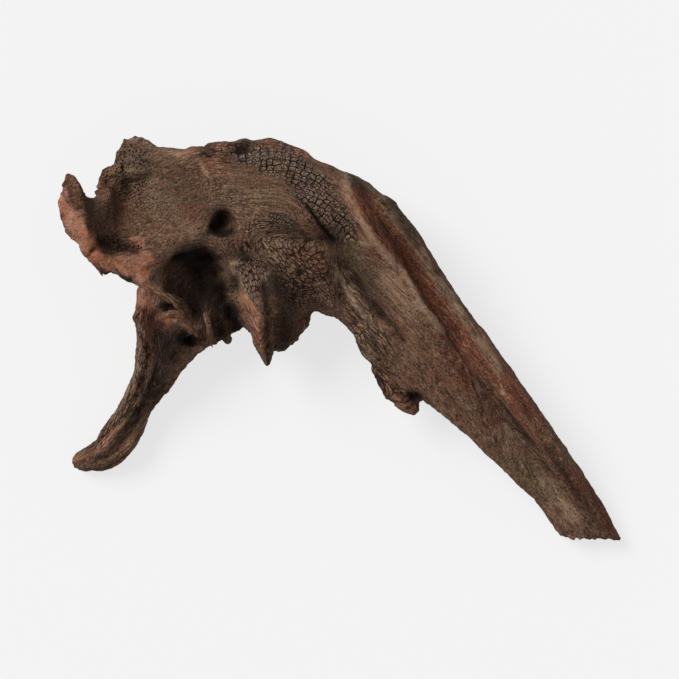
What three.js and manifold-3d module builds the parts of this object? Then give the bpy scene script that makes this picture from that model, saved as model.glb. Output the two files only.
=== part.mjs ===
// A piece of weathered driftwood, a root crown with one long tapering trunk, modelled as it lies on its back.
// Units are millimetres. X runs from the broken dish to the trunk's tip, Y from the foot to the crown's top,
// and Z is up, away from the surface that the wood lies on. Each limb is a loft through hand-placed ribs, and
// all limbs are fused into one solid, because the wood grew as one piece.

import * as THREE from 'three';
import { ParametricGeometry } from 'three/addons/geometries/ParametricGeometry.js';
import { ImprovedNoise } from 'three/addons/math/ImprovedNoise.js';
import { mergeVertices } from 'three/addons/utils/BufferGeometryUtils.js';
import Module from 'manifold-3d';

const wasm = await Module();
wasm.setup();

// Driving dimensions

const FLOOR_TRIM = 40; // thickness of the block that trims the three low spots flat
const SWELL_HEIGHT = 3; // slow swells of a limb's surface
const SWELL_LENGTH = 70; // length of one swell along a limb
const SWELL_COUNT = 1.3; // radius of the noise circle that a limb's swells are read from: more gives more
const FURROW_HEIGHT = 2.6; // height of the long furrows that follow the grain
const FURROW_LENGTH = 130; // length of one furrow along a limb
const FURROW_COUNT = 3.4; // radius of the noise circle that a limb's furrows are read from: more gives more
const TWIST = 0.9; // how far the grain winds round a limb from end to end, in radians
const TOOTH_LENGTH = 8; // spacing of the teeth along a broken edge
const SHEET_EDGE = 4.5; // how blunt a broken sheet's rim is: 2 is an ellipse, more is squarer
const LIMB_EDGE = 2.4; // the same for a round limb
const SPLIT_TOP = 130; // a level above all the wood, where the splits' cutters start
const FACE_REACH = 34; // how far a broken face's cutter reaches outward and up
const ROOTLET_CLOSING = 0.08; // share of a rootlet's length that rounds off each end
const ROOTLET_GNARL = 0.6; // how much a rootlet's radius wanders
const GROUND_SPAN = 600; // side of the block under the wood, wider than the whole piece

// A rib is one cross-section. upper and lower are its two silhouette points; bow lifts its middle, and front
// and back are the half thicknesses towards +Z and towards the floor.

const TRUNK = [
  { upper: [199.5, -141, 10], lower: [158, -140, 9], bow: 0, front: 9, back: 8 },
  { upper: [190, -123.5, 12], lower: [145, -123.5, 11], bow: 1, front: 12, back: 12.5 },
  { upper: [174.5, -98.5, 16], lower: [128.5, -98.5, 15], bow: 3, front: 15, back: 14 },
  { upper: [154.5, -69.5, 21], lower: [107.5, -74.5, 19], bow: 4, front: 18, back: 17 },
  { upper: [133, -38.5, 26], lower: [82, -55, 23], bow: 5, front: 21, back: 20 },
  { upper: [109, -7, 30], lower: [57.5, -39, 26], bow: 6, front: 24, back: 24 },
  { upper: [89, 21, 33], lower: [35, -23, 28], bow: 6, front: 27, back: 27 },
  { upper: [71, 48, 36], lower: [19.5, -12.5, 30], bow: 6, front: 30, back: 30 },
  { upper: [54.5, 75, 38], lower: [12, 6, 31], bow: 6, front: 33, back: 33 },
  { upper: [37.5, 94, 40], lower: [1.5, 17, 31], bow: 7, front: 36, back: 37 },
  { upper: [17.5, 110.5, 41], lower: [-11, 20.5, 31], bow: 8, front: 37, back: 39 },
  { upper: [-3.5, 121, 42], lower: [-20.5, 25.5, 30], bow: 9, front: 38, back: 39 },
  { upper: [-25, 134, 43], lower: [-33, 4, 27], bow: 10, front: 38, back: 37 },
  { upper: [-46.5, 140.5, 45], lower: [-42.5, -7.5, 26], bow: 12, front: 36, back: 34 },
  { upper: [-68.5, 136, 48], lower: [-56.5, 3.5, 28], bow: 13, front: 31, back: 30 },
  { upper: [-91, 136, 53], lower: [-68, 12, 32], bow: 10, front: 24, back: 26 },
  { upper: [-104, 122, 54], lower: [-80, 30, 40], bow: 2, front: 13, back: 18 },
  { upper: [-116, 112, 56], lower: [-92, 50, 50], bow: -2, front: 6, back: 8 },
];

const DISH = [
  { upper: [-70, 120, 54], lower: [-76, 74, 50], bow: 6, front: 11, back: 22 },
  { upper: [-86, 130, 62], lower: [-88, 64, 56], bow: 3, front: 10, back: 20 },
  { upper: [-97.5, 134, 66], lower: [-98, 56, 59], bow: 0, front: 9, back: 18 },
  { upper: [-113.5, 130, 67], lower: [-109, 52, 61], bow: -8, front: 8, back: 16 },
  { upper: [-128, 132.5, 67], lower: [-120, 48, 63], bow: -15, front: 7, back: 13 },
  { upper: [-134, 134.5, 67], lower: [-127, 44, 64.5], bow: -19, front: 6.5, back: 11 },
  { upper: [-142.5, 137, 67], lower: [-133, 38, 66], bow: -22, front: 6, back: 9.5 },
  { upper: [-147.5, 134, 66], lower: [-141, 40.5, 67.5], bow: -25, front: 6, back: 8.5 },
  { upper: [-150, 129, 66], lower: [-146, 42.5, 69], bow: -26, front: 6, back: 8 },
  { upper: [-150, 119, 65], lower: [-150, 46, 70], bow: -27, front: 6, back: 8 },
  { upper: [-157, 117, 64], lower: [-154, 48, 71], bow: -26, front: 6, back: 8 },
  { upper: [-161.5, 112, 63], lower: [-158, 49.5, 72], bow: -22, front: 6, back: 8 },
  { upper: [-162, 97, 62], lower: [-163, 52, 74], bow: -16, front: 6, back: 8.5 },
  { upper: [-171, 96, 66], lower: [-168, 57, 76], bow: -10, front: 6, back: 9.5 },
  { upper: [-178.5, 102, 74], lower: [-172.5, 64, 79], bow: -5, front: 6, back: 12 },
  { upper: [-184, 111.5, 83], lower: [-177, 70, 83], bow: 0, front: 6, back: 14 },
];

const LEG = [
  { upper: [-128, 62, 56], lower: [-79, 52, 40], bow: 2, front: 13, back: 17 },
  { upper: [-138.5, 40, 53], lower: [-79, 33, 32], bow: 4, front: 16, back: 18 },
  { upper: [-141.5, 19, 46], lower: [-84, 8, 26], bow: 5, front: 17, back: 18 },
  { upper: [-141, 0.5, 40], lower: [-103, -6, 22], bow: 5, front: 16, back: 16 },
  { upper: [-142, -17.5, 34], lower: [-114.5, -19, 20], bow: 4, front: 14, back: 14 },
  { upper: [-147.5, -34.5, 28], lower: [-127.5, -34.5, 18], bow: 3, front: 12.5, back: 12.5 },
  { upper: [-157, -51.5, 22], lower: [-137, -49.5, 15], bow: 2, front: 11.5, back: 11.5 },
  { upper: [-167, -65, 17], lower: [-139.5, -63, 12], bow: 1, front: 12, back: 11.5 },
  { upper: [-174, -75, 13], lower: [-146, -76.5, 10], bow: 1, front: 12.5, back: 12.5 },
  { upper: [-186, -80.5, 10], lower: [-157.5, -89.5, 9], bow: 0, front: 11, back: 10.5 },
  { upper: [-190, -84.5, 8.5], lower: [-171.5, -94, 8], bow: 0, front: 8, back: 8 },
  { upper: [-190, -89, 8], lower: [-183, -94, 8], bow: 0, front: 5, back: 6 },
];

const SNAG = [
  { upper: [-77, 76, 56], lower: [-50, 74, 56], bow: 0, front: 15, back: 16 },
  { upper: [-75, 60, 58], lower: [-48, 58, 57], bow: 1, front: 16, back: 18 },
  { upper: [-71, 42, 60], lower: [-46.5, 43.5, 59], bow: 2, front: 14, back: 20 },
  { upper: [-66.5, 25.5, 60], lower: [-46, 27, 58], bow: 2, front: 12, back: 20 },
  { upper: [-62.5, 10.5, 57], lower: [-45.5, 11.5, 55], bow: 1, front: 10, back: 18 },
  { upper: [-58, -3.5, 52], lower: [-45.5, -2, 51], bow: 1, front: 8, back: 12 },
  { upper: [-54, -12, 48], lower: [-46.5, -11, 47], bow: 0, front: 5, back: 6 },
  { upper: [-51.5, -19.5, 45], lower: [-48.5, -19.5, 45], bow: 0, front: 2, back: 2 },
];

const HEEL = [
  { upper: [23.5, -4, 34], lower: [66, -32, 32], bow: 2, front: 13, back: 14 },
  { upper: [22.5, -19, 34], lower: [58.5, -41.5, 32], bow: 2, front: 12, back: 13 },
  { upper: [29, -31.5, 34], lower: [55, -45, 32], bow: 2, front: 10, back: 11 },
  { upper: [38.5, -42, 33], lower: [54.5, -50.5, 32], bow: 1, front: 7, back: 9 },
  { upper: [42, -49.5, 32], lower: [52, -53.5, 32], bow: 0, front: 4, back: 4 },
];

const HOLLOW_WALL = [
  { upper: [-128, 64, 50], lower: [-122, 0, 26], bow: 0, front: 8, back: 16 },
  { upper: [-110.5, 74, 52], lower: [-105, -8, 20], bow: 0, front: 8, back: 17 },
  { upper: [-93, 76, 50], lower: [-89.5, -3, 20], bow: 0, front: 8, back: 18 },
  { upper: [-78.5, 72, 46], lower: [-76.5, 3.5, 21], bow: 0, front: 8, back: 18 },
  { upper: [-63.5, 66, 42], lower: [-66, 10.5, 24], bow: 0, front: 8, back: 17 },
  { upper: [-49.5, 58, 38], lower: [-52.5, 8, 28], bow: 0, front: 8, back: 16 },
];

// Rootlets are thin roots left in the hollow. A line is the root's centre; its radius goes from start to end.

const ROOTLETS = [
  { line: [[-134, 27, 57], [-122, 28, 56], [-110, 23, 50], [-100, 14, 42]], start: 7, end: 4 },
  { line: [[-121, 9, 40], [-108, 14, 43], [-96, 9, 41], [-86, -3, 34]], start: 6, end: 3.5 },
  { line: [[-82, 24, 36], [-80, 9, 33], [-78, -3, 30]], start: 6, end: 3 },
];

// Strokes are long soft ridges and valleys along hand-placed lines, on the upper face and on the back.

const STROKES = [
  {
    name: 'red valley', height: -8, width: 8,
    line: [[14, 102], [36, 78], [52, 52], [72, 14], [98, -24], [128, -70], [158, -116]],
  },
  {
    name: 'outer ridge', height: 4, width: 5,
    line: [[28, 98], [48, 72], [68, 40], [92, 3], [118, -34], [150, -84]],
  },
  {
    name: 'inner ridge', height: 5.5, width: 5.5,
    line: [[2, 106], [24, 72], [44, 42], [64, 6], [88, -32], [112, -66], [138, -104]],
  },
  { name: 'belly groove', height: -5, width: 6, line: [[-2, 50], [12, 32], [26, 14], [44, -6]] },
  { name: 'belly ridge', height: 3, width: 6, line: [[-10, 42], [6, 22], [20, 2], [34, -12]] },
  { name: 'crack hollow', height: -5, width: 12, line: [[-6, 72], [6, 56], [12, 44]] },
  { name: 'lobe slope', height: -10, width: 20, line: [[-40, 4], [-24, 16]] },
  { name: 'tip groove', height: -3, width: 4, line: [[104, -48], [126, -78], [150, -112], [170, -140]] },
];

const BACK_STROKES = [
  { name: 'resting boss', height: 13.5, width: 22, line: [[-12, 100], [8, 96]] },
  {
    name: 'long back valley', height: -8, width: 11,
    line: [[-30, 56], [10, 54], [50, 20], [90, -24], [130, -80]],
  },
  { name: 'long back ridge', height: 4, width: 7, line: [[0, 34], [36, 4], [70, -34], [108, -74]] },
  { name: 'back shoulder', height: -7, width: 12, line: [[-88, 110], [-60, 80], [-40, 40]] },
];

// Splits are deep drying cracks, straight down through the upper face to the given bottom.

const SPLITS = [
  { line: [[-16, 86], [-9, 76], [-4, 71], [1, 62], [7, 55], [9, 48]], width: 2, bottom: 66 },
  { line: [[9, 80], [13, 71], [18, 66], [21, 56], [26, 50]], width: 1.4, bottom: 68 },
  { line: [[-37, 60], [-32, 50], [-26, 46], [-22, 36]], width: 1.4, bottom: 66 },
];

// A broken face is flat. It starts at the inner edge from start to end and drops outward, on the edge's right,
// by slope degrees.

const BROKEN_FACES = [
  { name: 'left rim of the dish', start: [-188, 106, 90], end: [-165, 62, 82], slope: 38 },
  { name: 'lower rim of the dish', start: [-172, 61, 75], end: [-120, 61, 71], slope: 30 },
];

// Lumps are irregular boulders, used both to hollow the wood out and to swell it.

const HOLLOWS = [
  { name: 'hollow', at: [-98, 33, 84], radii: [29, 32, 47], rough: 3, seed: 7 },
  { name: 'flare of the hollow', at: [-80, 24, 72], radii: [17, 22, 36], rough: 2.5, seed: 11 },
  { name: 'pit beside the leg', at: [-96, -1, 52], radii: [9, 7, 16], rough: 1.5, seed: 13 },
  { name: 'knot hole', at: [-81, 78.5, 88], radii: [11, 10.5, 30], rough: 1.4, seed: 3 },
  { name: 'dimple over the snag', at: [-66, 62, 86], radii: [9, 9, 9], rough: 1.2, seed: 17 },
  { name: 'knot in the crown', at: [-67, 132, 76], radii: [7, 4.5, 12], rough: 1.2, seed: 19 },
];

const BURRS = [
  { name: 'spongy rim of the dish', at: [-139, 123, 57], radii: [14, 13, 12], rough: 2, seed: 29 },
  { name: 'ledge in the dish', at: [-142, 55, 58], radii: [20, 8, 9], rough: 3, seed: 37 },
];

const noise = new ImprovedNoise();

/** Turns a closed three.js geometry into a manifold solid. */
function solidOf(geometry) {
  const bare = geometry.clone();
  bare.deleteAttribute('normal');
  bare.deleteAttribute('uv');
  const merged = mergeVertices(bare, 1e-3);
  return new wasm.Manifold(new wasm.Mesh({
    numProp: 3,
    vertProperties: merged.attributes.position.array,
    triVerts: new Uint32Array(merged.index.array),
  }));
}

/** A closed surface of u and v as a solid, turned round where its faces would point inward. */
function solidOfSurface(surface, slices, stacks) {
  const made = solidOf(new ParametricGeometry(surface, slices, stacks));
  if (made.volume() > 0) return made;
  const turned = (u, v, target) => surface(1 - u, v, target);
  return solidOf(new ParametricGeometry(turned, slices, stacks));
}

/** Raises a signed number to a power and keeps its sign. */
function signedPower(value, power) {
  return Math.sign(value) * Math.abs(value) ** power;
}

/** Distance in plan from a point to a line of [x, y] points. */
function distanceToLine(x, y, line) {
  const point = new THREE.Vector3(x, y, 0);
  const near = new THREE.Vector3();
  let best = Infinity;
  for (let i = 0; i + 1 < line.length; i++) {
    const piece = new THREE.Line3(new THREE.Vector3(...line[i], 0), new THREE.Vector3(...line[i + 1], 0));
    piece.closestPointToPoint(point, true, near);
    best = Math.min(best, near.distanceTo(point));
  }
  return best;
}

/** Sum of the strokes at a place in plan. */
function strokeHeight(x, y, strokes) {
  return strokes.reduce((sum, { height, width, line }) => {
    const reach = distanceToLine(x, y, line) / width;
    return sum + height * Math.exp(-reach * reach);
  }, 0);
}

/** Height of the swells and furrows at a turn round a limb, a share of its length along and that length. */
function grainHeight(turn, along, length, seed) {
  const wound = turn + TWIST * along;
  const swell = noise.noise(
    SWELL_COUNT * Math.cos(wound) + seed,
    SWELL_COUNT * Math.sin(wound) + seed,
    along * length / SWELL_LENGTH,
  );
  const furrow = noise.noise(
    FURROW_COUNT * Math.cos(wound) - seed,
    FURROW_COUNT * Math.sin(wound) + seed,
    along * length / FURROW_LENGTH,
  );
  return 2 * (SWELL_HEIGHT * swell + FURROW_HEIGHT * furrow);
}

/** The middle surface of a limb. Across runs from -1 at the lower edge to 1 at the upper one. */
function middleSurface(ribs) {
  const upper = new THREE.CatmullRomCurve3(ribs.map((rib) => new THREE.Vector3(...rib.upper)));
  const lower = new THREE.CatmullRomCurve3(ribs.map((rib) => new THREE.Vector3(...rib.lower)));
  const girth = new THREE.CatmullRomCurve3(ribs.map((rib) => new THREE.Vector3(rib.front, rib.back, rib.bow)));
  const step = 0.02;
  const at = (along, across) => {
    const t = THREE.MathUtils.clamp(along, 0, 1);
    const point = new THREE.Vector3().lerpVectors(lower.getPoint(t), upper.getPoint(t), (across + 1) / 2);
    point.z += girth.getPoint(t).z * (1 - across * across);
    return point;
  };
  const directions = (along, across) => {
    const side = at(along, Math.min(across + step, 1)).sub(at(along, Math.max(across - step, -1)));
    const ahead = at(Math.min(along + step, 1), across).sub(at(Math.max(along - step, 0), across));
    const normal = side.clone().cross(ahead).normalize();
    if (normal.z < 0) normal.negate();
    return { side: side.normalize(), ahead: ahead.normalize(), normal };
  };
  return { at, directions, girth, length: upper.getLength() };
}

/** A limb is lofted through its ribs. It takes its shares of grain and strokes, and how far it is torn. */
function limb(ribs, {
  slices, stacks, seed,
  edge = LIMB_EDGE, closing = 0.03, grain = 1, strokes = 0, tornEnds = 0, tornRims = 0,
}) {
  const middle = middleSurface(ribs);
  const surface = (u, v, target) => {
    const along = THREE.MathUtils.clamp((v - closing) / (1 - 2 * closing), 0, 1);
    const shrink = Math.min(1, v / closing, (1 - v) / closing);
    const turn = 2 * Math.PI * u;
    const across = signedPower(Math.cos(turn), 2 / edge) * shrink;
    const rise = signedPower(Math.sin(turn), 2 / edge) * shrink;
    const centre = middle.at(along, across);
    const { side, ahead, normal } = middle.directions(along, across);
    const { x: front, y: back } = middle.girth.getPoint(along);
    target.copy(centre).addScaledVector(normal, (rise > 0 ? front : back) * rise);

    const outward = side.clone().multiplyScalar(across).addScaledVector(normal, rise);
    if (outward.lengthSq() > 0) outward.normalize();
    const pressed = strokeHeight(centre.x, centre.y, rise > 0 ? STROKES : BACK_STROKES);
    const faceShare = THREE.MathUtils.smoothstep(Math.abs(rise), 0.25, 0.8);
    const rimShare = THREE.MathUtils.smoothstep(Math.abs(across), 0.8, 1);
    const grown = grain * (1 - 0.7 * rimShare) * grainHeight(turn, along, middle.length, seed);
    target.addScaledVector(outward, shrink * grown + strokes * faceShare * pressed);

    const tooth = 2 * noise.noise(
      target.x / TOOTH_LENGTH + seed,
      target.y / TOOTH_LENGTH,
      target.z / TOOTH_LENGTH - seed,
    );
    const endShare = THREE.MathUtils.smoothstep(Math.abs(v - 0.5), 0.5 - 2.5 * closing, 0.5 - closing);
    target.addScaledVector(ahead, tornEnds * tooth * endShare);
    target.addScaledVector(side, tornRims * tooth * rimShare * Math.sign(across));
  };
  return solidOfSurface(surface, slices, stacks);
}

/** A thin root: a round section swept along a smooth line, closed at both ends. */
function rootlet({ line, start, end }) {
  const path = new THREE.CatmullRomCurve3(line.map((point) => new THREE.Vector3(...point)));
  const surface = (u, v, target) => {
    const turn = 2 * Math.PI * u;
    const along = THREE.MathUtils.clamp((v - ROOTLET_CLOSING) / (1 - 2 * ROOTLET_CLOSING), 0, 1);
    const shrink = Math.min(1, v / ROOTLET_CLOSING, (1 - v) / ROOTLET_CLOSING);
    const gnarl = 1 + ROOTLET_GNARL * noise.noise(2 * Math.cos(turn), 2 * Math.sin(turn), 4 * v);
    const radius = THREE.MathUtils.lerp(start, end, along) * gnarl * shrink;
    const tangent = path.getTangent(along);
    const side = new THREE.Vector3(-tangent.y, tangent.x, 0).normalize();
    const up = tangent.clone().cross(side);
    target.copy(path.getPoint(along))
      .addScaledVector(side, radius * Math.cos(turn))
      .addScaledVector(up, radius * Math.sin(turn));
  };
  return solidOfSurface(surface, 8, 12);
}

/** The cutter of a drying crack: an upright spindle in plan, pointed at both ends. */
function split({ line, width, bottom }) {
  const path = new THREE.CatmullRomCurve3(line.map(([x, y]) => new THREE.Vector3(x, y, 0)));
  const steps = 6;
  const bank = (i, hand) => {
    const point = path.getPoint(i / steps);
    const tangent = path.getTangent(i / steps);
    const half = hand * width / 2 * Math.sin(Math.PI * i / steps);
    return new THREE.Vector2(point.x - tangent.y * half, point.y + tangent.x * half);
  };
  const left = Array.from({ length: steps + 1 }, (_, i) => bank(i, 1));
  const right = Array.from({ length: steps - 1 }, (_, i) => bank(steps - 1 - i, -1));
  const cutter = new THREE.ExtrudeGeometry(new THREE.Shape([...left, ...right]), {
    depth: SPLIT_TOP - bottom,
    bevelEnabled: false,
  });
  cutter.translate(0, 0, bottom);
  return solidOf(cutter);
}

/** The cutter of a broken face: a block whose flat bottom starts at the face's inner edge and drops outward. */
function faceCutter({ start, end, slope }) {
  const from = new THREE.Vector3(...start);
  const edge = new THREE.Vector3(...end).sub(from);
  const ahead = edge.clone().normalize();
  const right = ahead.clone().cross(new THREE.Vector3(0, 0, 1)).normalize();
  const outward = right.clone().applyAxisAngle(ahead, -THREE.MathUtils.degToRad(slope));
  const above = outward.clone().cross(ahead);
  const block = new THREE.BoxGeometry(FACE_REACH, edge.length(), FACE_REACH);
  block.translate(FACE_REACH / 2, edge.length() / 2, FACE_REACH / 2);
  block.applyMatrix4(new THREE.Matrix4().makeBasis(outward, ahead, above).setPosition(from));
  return solidOf(block);
}

/** An irregular boulder: a sphere whose radius wanders. */
function lump({ at, radii, rough, seed }, detail = 8) {
  const sphere = new THREE.SphereGeometry(1, detail * 2, detail);
  sphere.scale(...radii);
  sphere.translate(...at);
  const ball = mergeVertices(sphere.deleteAttribute('normal').deleteAttribute('uv'), 1e-3);
  const place = ball.attributes.position;
  const point = new THREE.Vector3();
  const centre = new THREE.Vector3(...at);
  for (let i = 0; i < place.count; i++) {
    point.fromBufferAttribute(place, i);
    const outward = point.clone().sub(centre).normalize();
    const wander = noise.noise(point.x / 9 + seed, point.y / 9 - seed, point.z / 14);
    point.addScaledVector(outward, 2 * rough * wander);
    place.setXYZ(i, point.x, point.y, point.z);
  }
  return solidOf(ball);
}

/** The half space under the surface that the wood lies on. */
function ground() {
  const block = new THREE.BoxGeometry(GROUND_SPAN, GROUND_SPAN, FLOOR_TRIM);
  block.translate(0, 0, -FLOOR_TRIM / 2);
  return solidOf(block);
}

function driftwood() {
  const sheet = { edge: SHEET_EDGE, closing: 0.06 };
  let wood = limb(TRUNK, { slices: 48, stacks: 64, strokes: 1, tornEnds: 2.5, seed: 0.5 })
    .add(limb(DISH, { slices: 30, stacks: 32, ...sheet, grain: 0.4, tornEnds: 2, tornRims: 1, seed: 2.5 }))
    .add(limb(HOLLOW_WALL, { slices: 16, stacks: 8, ...sheet, grain: 0.5, seed: 4.5 }))
    .add(limb(LEG, { slices: 20, stacks: 28, seed: 6.5 }))
    .add(limb(HEEL, { slices: 14, stacks: 10, grain: 0.6, tornEnds: 1, seed: 8.5 }));
  for (const burr of BURRS) wood = wood.add(lump(burr));
  for (const hollow of HOLLOWS) wood = wood.subtract(lump(hollow));
  for (const root of ROOTLETS) wood = wood.add(rootlet(root));
  wood = wood.add(limb(SNAG, { slices: 14, stacks: 16, grain: 0.5, tornEnds: 1, seed: 10.5 }));
  for (const face of BROKEN_FACES) wood = wood.subtract(faceCutter(face));
  for (const crack of SPLITS) wood = wood.subtract(split(crack));
  return wood.subtract(ground());
}

/** Turns a solid into a geometry. */
function geometryOf(solid) {
  const { numProp, vertProperties, triVerts } = solid.getMesh();
  const places = new Float32Array(vertProperties.length / numProp * 3);
  for (let i = 0; i < places.length / 3; i++) {
    places.set(vertProperties.subarray(i * numProp, i * numProp + 3), i * 3);
  }
  const geometry = new THREE.BufferGeometry()
    .setAttribute('position', new THREE.BufferAttribute(places, 3))
    .setIndex(new THREE.BufferAttribute(triVerts, 1));
  geometry.computeBoundingBox();
  geometry.computeVertexNormals();
  return geometry;
}

const wood = new THREE.MeshStandardMaterial({ color: 0x5a4238, roughness: 0.85, metalness: 0 });
const piece = new THREE.Mesh(geometryOf(driftwood()), wood);
piece.name = 'driftwood';

// The wood stands centred over the origin with its lowest face at Z = 0.
const { min, max } = piece.geometry.boundingBox;
piece.position.set(-(min.x + max.x) / 2, -(min.y + max.y) / 2, -min.z);

const group = new THREE.Group();
group.add(piece);

export default group;
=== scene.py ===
import bpy
import numpy as np
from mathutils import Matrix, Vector, noise
from mathutils.geometry import interpolate_bezier
from mathutils.kdtree import KDTree


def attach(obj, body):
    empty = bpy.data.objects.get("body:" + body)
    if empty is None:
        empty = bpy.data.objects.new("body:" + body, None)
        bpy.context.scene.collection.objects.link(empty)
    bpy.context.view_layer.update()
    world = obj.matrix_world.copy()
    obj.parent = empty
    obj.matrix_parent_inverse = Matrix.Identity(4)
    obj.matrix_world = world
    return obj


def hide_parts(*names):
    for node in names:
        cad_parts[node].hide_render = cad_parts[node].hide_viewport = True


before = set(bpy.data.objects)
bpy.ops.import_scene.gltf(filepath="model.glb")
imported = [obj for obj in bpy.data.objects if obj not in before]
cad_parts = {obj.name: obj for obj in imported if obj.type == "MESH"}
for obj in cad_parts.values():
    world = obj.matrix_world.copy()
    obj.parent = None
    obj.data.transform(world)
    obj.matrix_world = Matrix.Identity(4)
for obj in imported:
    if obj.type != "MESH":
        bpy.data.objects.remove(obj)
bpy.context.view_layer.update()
scene = bpy.context.scene


# Camera
# It stands two metres over the floor and looks straight down through a long lens, so the picture is nearly a
# plan of the wood.

camera = bpy.data.objects.new("camera", bpy.data.cameras.new("camera"))
scene.collection.objects.link(camera)
camera.data.lens = 150
camera.data.sensor_width = 36
camera.location = (-0.00221, 0.00101, 2.0204)
scene.camera = camera


# Skin of the wood
# The wood is one root crown with one trunk, grown as one piece and hollowed by rot. Its skin starts as an
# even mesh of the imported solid, with the solid's flat facets worn round.

# Metres between two points of the skin.
SKIN_STEP = 0.00143

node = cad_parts["driftwood"]
wood = bpy.data.objects.new("weathered_root", node.data.copy())
scene.collection.objects.link(wood)
remesh = wood.modifiers.new("even skin", "REMESH")
remesh.mode = "VOXEL"
remesh.voxel_size = SKIN_STEP
graph = bpy.context.evaluated_depsgraph_get()
skin = bpy.data.meshes.new_from_object(wood.evaluated_get(graph))
wood.modifiers.clear()
wood.data = skin
skin.materials.clear()

count = len(skin.vertices)
pairs = np.empty(len(skin.edges) * 2, np.int32)
skin.edges.foreach_get("vertices", pairs)
pairs = pairs.reshape(-1, 2)
starts = np.concatenate([pairs[:, 0], pairs[:, 1]])
ends = np.concatenate([pairs[:, 1], pairs[:, 0]])
neighbours = np.bincount(ends, minlength=count)[:, None]


def places_of(mesh):
    """The mesh's vertices in the row frame, in millimetres."""
    flat = np.empty(len(mesh.vertices) * 3, np.float32)
    mesh.vertices.foreach_get("co", flat)
    return flat.astype(float).reshape(-1, 3) * 1000


def put(mesh, places):
    """Moves the mesh's vertices to places in millimetres, none of them below the floor."""
    places[:, 2] = np.maximum(places[:, 2], 0)
    mesh.vertices.foreach_set("co", (places / 1000).astype(np.float32).ravel())
    mesh.update()


def normals_of(mesh):
    """The direction that the skin faces at each vertex."""
    flat = np.empty(len(mesh.vertices) * 3, np.float32)
    mesh.vertices.foreach_get("normal", flat)
    return flat.astype(float).reshape(-1, 3)


def pulled(values, share):
    """Values moved by a share towards the mean of their neighbours on the skin."""
    around = np.stack([np.bincount(ends, values[starts, i], count) for i in range(values.shape[1])], 1)
    return values + share * (around / neighbours - values)


# Pulled in and let out again a little further each time, the skin loses its facets and keeps its bulk. The
# worn spots that it rests on stay on the floor.
ROUNDINGS = 14
ROUND_IN = 0.6
ROUND_OUT = -0.63
RESTING_BELOW = 0.3

places = places_of(skin)
resting = places[:, 2] < RESTING_BELOW
for turn in range(ROUNDINGS):
    places = pulled(pulled(places, ROUND_IN), ROUND_OUT)
places[resting, 2] = 0

# The picture's width and middle in pixels, the camera's place in millimetres, and how many millimetres a
# pixel shows halfway up the wood.
PICTURE = 679
MIDDLE = PICTURE / 2
DEPTH_SCALE = camera.data.lens / camera.data.sensor_width * PICTURE
REACH = camera.location.z * 1000
UNDER_CAMERA = np.array(camera.location[:2]) * 1000
PIXEL = 0.694


def seen(places):
    """Where the camera sees each place, in pixels of the picture."""
    across = DEPTH_SCALE / (REACH - places[:, 2])
    right = MIDDLE + (places[:, 0] - UNDER_CAMERA[0]) * across
    down = MIDDLE - (places[:, 1] - UNDER_CAMERA[1]) * across
    return np.column_stack([right, down])


# From where, to where and how far around, in pixels, the skin's outline is worn back or drawn out.
WORN = [
    ((72, 181), (68, 174.5), 6),
    ((56, 194), (61, 193.5), 6),
    ((61, 188), (64, 188.5), 5),
    ((76, 246), (80, 243), 8),
    ((102, 270), (103, 275), 5),
    ((94, 188), (97, 187), 4),
    ((113, 151), (116, 152.5), 6),
    ((122, 141), (124, 138), 6),
    ((160, 142), (159.5, 145), 10),
    ((186, 147.5), (186, 149.5), 8),
    ((243, 145), (244, 140), 9),
    ((290, 143), (289, 146), 14),
    ((320, 156), (316.5, 160), 15),
    ((346, 170), (344, 173), 14),
    ((381, 189.5), (379.5, 192), 8),
    ((386, 193), (384.5, 195.5), 5),
    ((395, 204.5), (396, 202), 4),
    ((309, 316), (306, 317), 6),
    ((137, 318), (133.5, 317), 4),
    ((460, 398), (461, 396), 9),
]
for start, end, radius in WORN:
    away = np.linalg.norm(seen(places) - start, axis=1)
    shift = (np.array(end) - start) * (1, -1) * PIXEL
    places[:, :2] += shift * np.exp(-((away / radius) ** 2))[:, None]

# Where the dish is worn smooth, and how far around, in pixels.
SMOOTHED = [((134, 168), 11), ((138, 178), 11), ((122, 186), 12), ((120, 208), 12), ((124, 230), 9)]
SMOOTHINGS = 25
for centre, radius in SMOOTHED:
    away = np.linalg.norm(seen(places) - centre, axis=1)
    for turn in range(SMOOTHINGS):
        places = pulled(places, ROUND_IN * np.exp(-((away / radius) ** 4))[:, None])
put(skin, places)


# Grain
# Wood fibres run along each limb and swing round the knots. Every point of the skin gets its place in the
# wood as if the limb were straight: how far along, how far to the side and how high, in millimetres.

# Steps of a smooth line between two of its corners.
LINE_STEPS = 24


def spot(px, py):
    """Where in plan, in millimetres, a pixel of the picture lies, halfway up the wood."""
    return UNDER_CAMERA[0] + (px - MIDDLE) * PIXEL, UNDER_CAMERA[1] + (MIDDLE - py) * PIXEL


def smooth(corners):
    """A smooth line through spots of the picture, in short steps."""
    corners = [Vector((*corner, 0)) for corner in corners]
    padded = [2 * corners[0] - corners[1], *corners, 2 * corners[-1] - corners[-2]]
    line = []
    for before, start, end, after in zip(padded, padded[1:], padded[2:], padded[3:]):
        leaving = start + (end - before) / 6
        arriving = end - (after - start) / 6
        line += interpolate_bezier(start, leaving, arriving, end, LINE_STEPS)[:-1]
    return np.array([*line, corners[-1]])[:, :2]


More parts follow.
